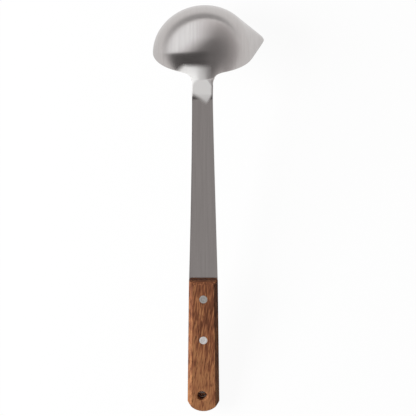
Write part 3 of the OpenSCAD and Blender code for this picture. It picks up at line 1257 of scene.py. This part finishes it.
@dataclass
class Studio:
    """The pale table, the soft light and the camera straight above.

    The camera sees a plain white world and a white table. The table's glow fades where the ladle
    covers it, which paints the ladle's soft shadow, and there the table's real matt shading shows.
    Steel mirrors that table too, and the plain white world near the horizon. Above that it mirrors
    a room that is painted by direction, because a bowl under an even white sky would look flat.
    Levels are shares of that white.
    """

    # The camera's place is in millimetres. The picture and the focal length are in pixels.
    camera_place: tuple[float, float, float] = (-0.526, 1.352, 1200.0)
    focal_px: float = 1485.1
    frame_px: float = 416.0
    sensor: float = 36.0
    clip_end: float = 50.0
    # The table's radius is in metres. It lies this many millimetres under the ladle.
    table_r: float = 6.0
    table_sides: int = 96
    table_drop: float = 0.1
    table_colour: str = "#F6F6F6"
    # The table as steel mirrors it: a little under white, and darker beyond the ladle.
    mirrored_level: float = 0.88
    far_level: float = 0.42
    far_borders: tuple[SoftEdge, ...] = (SoftEdge((-0.4, 1.0, 0.0), 0.245, 0.4),)
    # The table's own glow, under cover and in the open. The glow fades under cover, which paints a
    # soft shadow round and under the ladle; there the table's real matt shading shows. Cover counts
    # within this many metres, and between these two shares of open sky.
    least_glow: float = 0.045
    glow_share: float = 0.95
    covered: float = 0.03
    covered_range: tuple[float, float] = (0.25, 0.48)
    cover_samples: int = 16
    backdrop_top: SoftEdge = SoftEdge((0.0, 0.0, -1.0), -0.1, -0.02)
    # The painted walls are pale low down and dark overhead, and less pale on the right. Heights
    # are those of the direction.
    high_z: float = 0.82
    low_z: float = 0.09
    high_level: float = 0.21
    low_level: float = 0.74
    shaded_side: SoftEdge = SoftEdge((1.0, 0.0, 0.0), 0.1, 0.6)
    shaded_low_level: float = 0.58
    wall_colour: str = "#FFFBFB"
    # Directions that point farther away than this are painted alike.
    farthest: float = 0.65
    # A dark flag at the near left, which gives the bowl its dark band; a grey card above the
    # handle, which the shank mirrors; and a soft box at the far left, which brightens that side.
    panels: tuple[Panel, ...] = (
        Panel(
            level=0.108,
            colour="#FFFBFB",
            borders=(
                SoftEdge((-1.0, 0.0, 0.0), -0.3, 0.05),
                SoftEdge((0.0, -1.0, 0.01), -0.07, -0.04),
                SoftEdge((0.0, 0.0, 1.0), 0.05, 0.16),
            ),
        ),
        Panel(
            level=0.44,
            colour="#FFFBFA",
            borders=(
                SoftEdge((0.0, -1.0, -0.25), 0.0, 0.12),
                SoftEdge((-1.0, 0.0, 0.35), 0.0, 0.1),
                SoftEdge((1.0, 0.0, 0.35), 0.0, 0.1),
            ),
        ),
        Panel(
            level=1.3,
            colour="#FAFDFF",
            borders=(
                SoftEdge((-1.0, 1.05, 0.0), 0.32, 1.05, "LINEAR"),
                SoftEdge((0.0, 1.0, -0.01), 0.04, 0.07),
            ),
        ),
    )
    fill_level: float = 0.15
    # The key lamp's distance and size are in metres.
    key_watts: float = 27.2
    key_far: float = 1.4
    key_size: float = 0.7
    key_azimuth: float = 180.0
    key_from_top: float = 52.0

    def build_camera(self) -> None:
        """Sets the camera straight above the ladle, with the bowl at the top of the picture."""
        data = bpy.data.cameras.new("camera")
        data.sensor_width = self.sensor
        data.lens = self.focal_px / self.frame_px * self.sensor
        data.clip_end = self.clip_end
        camera = bpy.data.objects.new("camera", data)
        camera.location = Vector(self.camera_place) * MM
        bpy.context.scene.collection.objects.link(camera)
        bpy.context.scene.camera = camera

    def looked_at(self, tree: bpy.types.NodeTree, sight: bpy.types.Node) -> bpy.types.NodeSocket:
        """Tells what the camera looks at, also through glass, from what lights a surface.

        Args:
            tree: The node tree that gets the node.
            sight: The tree's Light Path node.

        Returns:
            A socket that is 1 for what is looked at.
        """
        ways = {0: sight.outputs["Is Camera Ray"], 1: sight.outputs["Is Transmission Ray"]}
        return add(tree, "ShaderNodeMath", ways, operation="MAXIMUM").outputs["Value"]

    def table_finish(self) -> bpy.types.Material:
        """Builds the table's matt white laminate, a plain white glowing ground. Its glow fades
        where the ladle covers it, as a painted soft shadow, and there its real matt shading shows.

        Returns:
            The node material.
        """
        material, tree = new_material("matt_white_laminate")
        # Occlusion, not light, fades the table's glow: a painted shadow round and under the ladle.
        open_to_sky = add(
            tree,
            "ShaderNodeAmbientOcclusion",
            {"Distance": self.covered},
            samples=self.cover_samples,
        )
        bare = add(
            tree,
            "ShaderNodeMapRange",
            {
                "Value": open_to_sky.outputs["AO"],
                "From Min": self.covered_range[0],
                "From Max": self.covered_range[1],
                "To Min": self.least_glow,
                "To Max": self.glow_share,
            },
        )
        sight = add(tree, "ShaderNodeLightPath")
        mirrored = sight.outputs["Is Glossy Ray"]
        ways = {0: self.looked_at(tree, sight), 1: mirrored}
        seen = add(tree, "ShaderNodeMath", ways, operation="MAXIMUM")
        parts = {0: seen.outputs["Value"], 1: bare.outputs["Result"]}
        share = add(tree, "ShaderNodeMath", parts, operation="MULTIPLY")
        matt = add(tree, "ShaderNodeBsdfDiffuse", {"Color": linear(self.table_colour)})
        place = add(tree, "ShaderNodeTexCoord")
        far = share_inside(tree, place.outputs["Object"], self.far_borders)
        depths = {"Factor": far, MIX_A: self.mirrored_level, MIX_B: self.far_level}
        depth = add(tree, "ShaderNodeMix", depths).outputs[MIXED]
        levels = {"Factor": mirrored, MIX_A: 1.0, MIX_B: depth}
        level = add(tree, "ShaderNodeMix", levels).outputs[MIXED]
        white = add(tree, "ShaderNodeEmission", {"Color": linear(WHITE), "Strength": level})
        mixed = add(
            tree,
            "ShaderNodeMixShader",
            {0: share.outputs["Value"], 1: matt.outputs["BSDF"], 2: white.outputs["Emission"]},
        )
        add(tree, "ShaderNodeOutputMaterial", {"Surface": mixed.outputs["Shader"]})
        return material

    def build_table(self) -> None:
        """Lays a wide pale table just under the ladle."""
        bm = bmesh.new()
        drop = Matrix.Translation((0, 0, -self.table_drop * MM))
        bmesh.ops.create_circle(
            bm, cap_ends=True, segments=self.table_sides, radius=self.table_r, matrix=drop
        )
        mesh = bpy.data.meshes.new("table")
        bm.to_mesh(mesh)
        bm.free()
        mesh.materials.append(self.table_finish())
        table = bpy.data.objects.new("table", mesh)
        bpy.context.scene.collection.objects.link(table)

    def painted_room(
        self, tree: bpy.types.NodeTree, way: bpy.types.NodeSocket
    ) -> tuple[bpy.types.NodeSocket, bpy.types.NodeSocket]:
        """Paints the room that the steel mirrors: graded walls, and the panels over them in turn.

        Args:
            tree: The world's node tree.
            way: The direction that is mirrored.

        Returns:
            Sockets with the room's colour and its level.
        """
        near = (1.0, self.farthest, 1.0)
        held = add(tree, "ShaderNodeVectorMath", {0: way, 1: near}, operation="MINIMUM")
        place = held.outputs["Vector"]
        split = add(tree, "ShaderNodeSeparateXYZ", {"Vector": place})
        walls = []
        for low_level in (self.low_level, self.shaded_low_level):
            graded = {
                "Value": split.outputs["Z"],
                "From Min": self.low_z,
                "From Max": self.high_z,
                "To Min": low_level,
                "To Max": self.high_level,
            }
            walls.append(add(tree, "ShaderNodeMapRange", graded).outputs["Result"])
        shaded = share_inside(tree, place, [self.shaded_side])
        sides = {"Factor": shaded, MIX_A: walls[0], MIX_B: walls[1]}
        level = add(tree, "ShaderNodeMix", sides).outputs[MIXED]
        colour = linear(self.wall_colour)
        for panel in self.panels:
            share = share_inside(tree, place, panel.borders)
            levels = {"Factor": share, MIX_A: level, MIX_B: panel.level}
            level = add(tree, "ShaderNodeMix", levels).outputs[MIXED]
            tints = {"Factor": share, TINT_A: colour, TINT_B: linear(panel.colour)}
            colour = add(tree, "ShaderNodeMix", tints, data_type="RGBA").outputs[TINTED]
        return colour, level

    def build_room(self) -> None:
        """Hangs the painted room round the ladle, with plain white for what is looked at."""
        world = bpy.data.worlds.new("studio")
        bpy.context.scene.world = world
        world.use_nodes = True
        tree = world.node_tree
        tree.nodes.clear()
        way = add(tree, "ShaderNodeTexCoord").outputs["Generated"]
        colour, level = self.painted_room(tree, way)
        sight = add(tree, "ShaderNodeLightPath")
        glossy = sight.outputs["Is Glossy Ray"]
        lit = {"Factor": glossy, MIX_A: self.fill_level, MIX_B: level}
        strength = add(tree, "ShaderNodeMix", lit).outputs[MIXED]
        room = add(tree, "ShaderNodeBackground", {"Color": colour, "Strength": strength})
        plain = add(tree, "ShaderNodeBackground", {"Color": linear(WHITE), "Strength": 1.0})
        low = share_inside(tree, way, [self.backdrop_top])
        mirrored = add(tree, "ShaderNodeMath", {0: glossy, 1: low}, operation="MULTIPLY")
        ways = {0: self.looked_at(tree, sight), 1: mirrored.outputs["Value"]}
        seen = add(tree, "ShaderNodeMath", ways, operation="MAXIMUM").outputs["Value"]
        parts = {0: seen, 1: room.outputs["Background"], 2: plain.outputs["Background"]}
        sky = add(tree, "ShaderNodeMixShader", parts)
        add(tree, "ShaderNodeOutputWorld", {"Surface": sky.outputs["Shader"]})

    def build_key(self) -> None:
        """Hangs a soft key lamp at the left, which the steel doesn't mirror."""
        data = bpy.data.lights.new("key", "AREA")
        data.shape = "SQUARE"
        data.size = self.key_size
        data.energy = self.key_watts
        key = bpy.data.objects.new("key", data)
        az, top = math.radians(self.key_azimuth), math.radians(self.key_from_top)
        way = Vector((math.sin(top) * math.cos(az), math.sin(top) * math.sin(az), math.cos(top)))
        key.location = way * self.key_far
        key.rotation_euler = way.to_track_quat("Z", "Y").to_euler()
        key.visible_glossy = False
        key.visible_camera = False
        bpy.context.scene.collection.objects.link(key)

    def build(self) -> None:
        """Builds the whole set."""
        self.build_camera()
        self.build_table()
        self.build_room()
        self.build_key()
        bpy.context.scene.view_settings.view_transform = "Standard"


def main() -> None:
    """Builds the studio and the ladle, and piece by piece."""
    logging.basicConfig(level=logging.INFO, format="%(name)s: %(message)s")
    Studio().build()
    form = LadleForm()
    blank = PressedBlank(form, BrushedStainless().material(), BlankedStainless().material())
    blank.build_pressing()
    blank.build_tang()
    wood = OiledRosewood().material()
    for face in Face:
        GripScale(form, wood, face).build()
    upper = GroundRivetSteel(
        name="belt_ground_stainless_steel_upper", colour="#CAC7C3", dull_colour="#BEBBB8"
    )
    # Both heads are one steel. The upper keeps the steel's colour, and the lower is painted near
    # white as a painted highlight.
    lower = GroundRivetSteel(
        name="belt_ground_stainless_steel_lower_painted_highlight", colour="#FDFAF8", dull_colour="#F2EEEC"
    )
    Rivet(form, upper.material(), "upper", form.upper_rivet_at).build()
    Rivet(form, lower.material(), "lower", form.lower_rivet_at).build()


if __name__ == "__main__":
    main()
